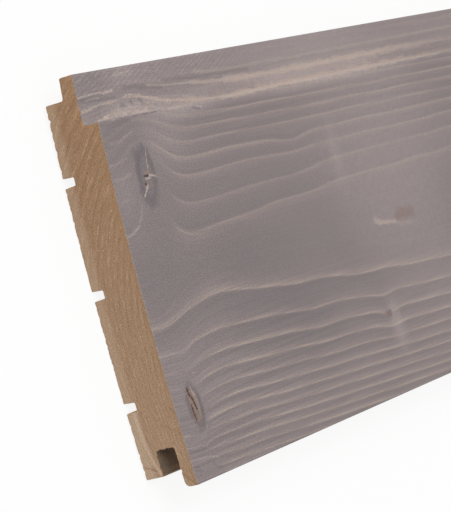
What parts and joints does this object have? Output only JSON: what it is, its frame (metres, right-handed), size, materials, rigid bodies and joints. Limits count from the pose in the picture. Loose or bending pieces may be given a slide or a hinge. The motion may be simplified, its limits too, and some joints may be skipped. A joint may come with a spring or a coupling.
{
  "type": "tongue and groove board",
  "caption": "Flat softwood board with a tongue along one edge and a groove along the other, relief slots in its back, and a brushed grey-stained face; joins edge to edge as cladding.",
  "frame": {"origin": "under the middle of the board, on the surface that its back lies on", "axes": "+X along the board's length, +Y across its width towards the tongue, +Z out of the stained face"},
  "size_m": [1.8, 0.146, 0.0195],
  "materials": {
    "board": "brushed softwood, grey stain on the face, bare on the ends, joints and back"
  },
  "bodies": {
    "root": {"board": "board"}
  },
  "joints": []
}
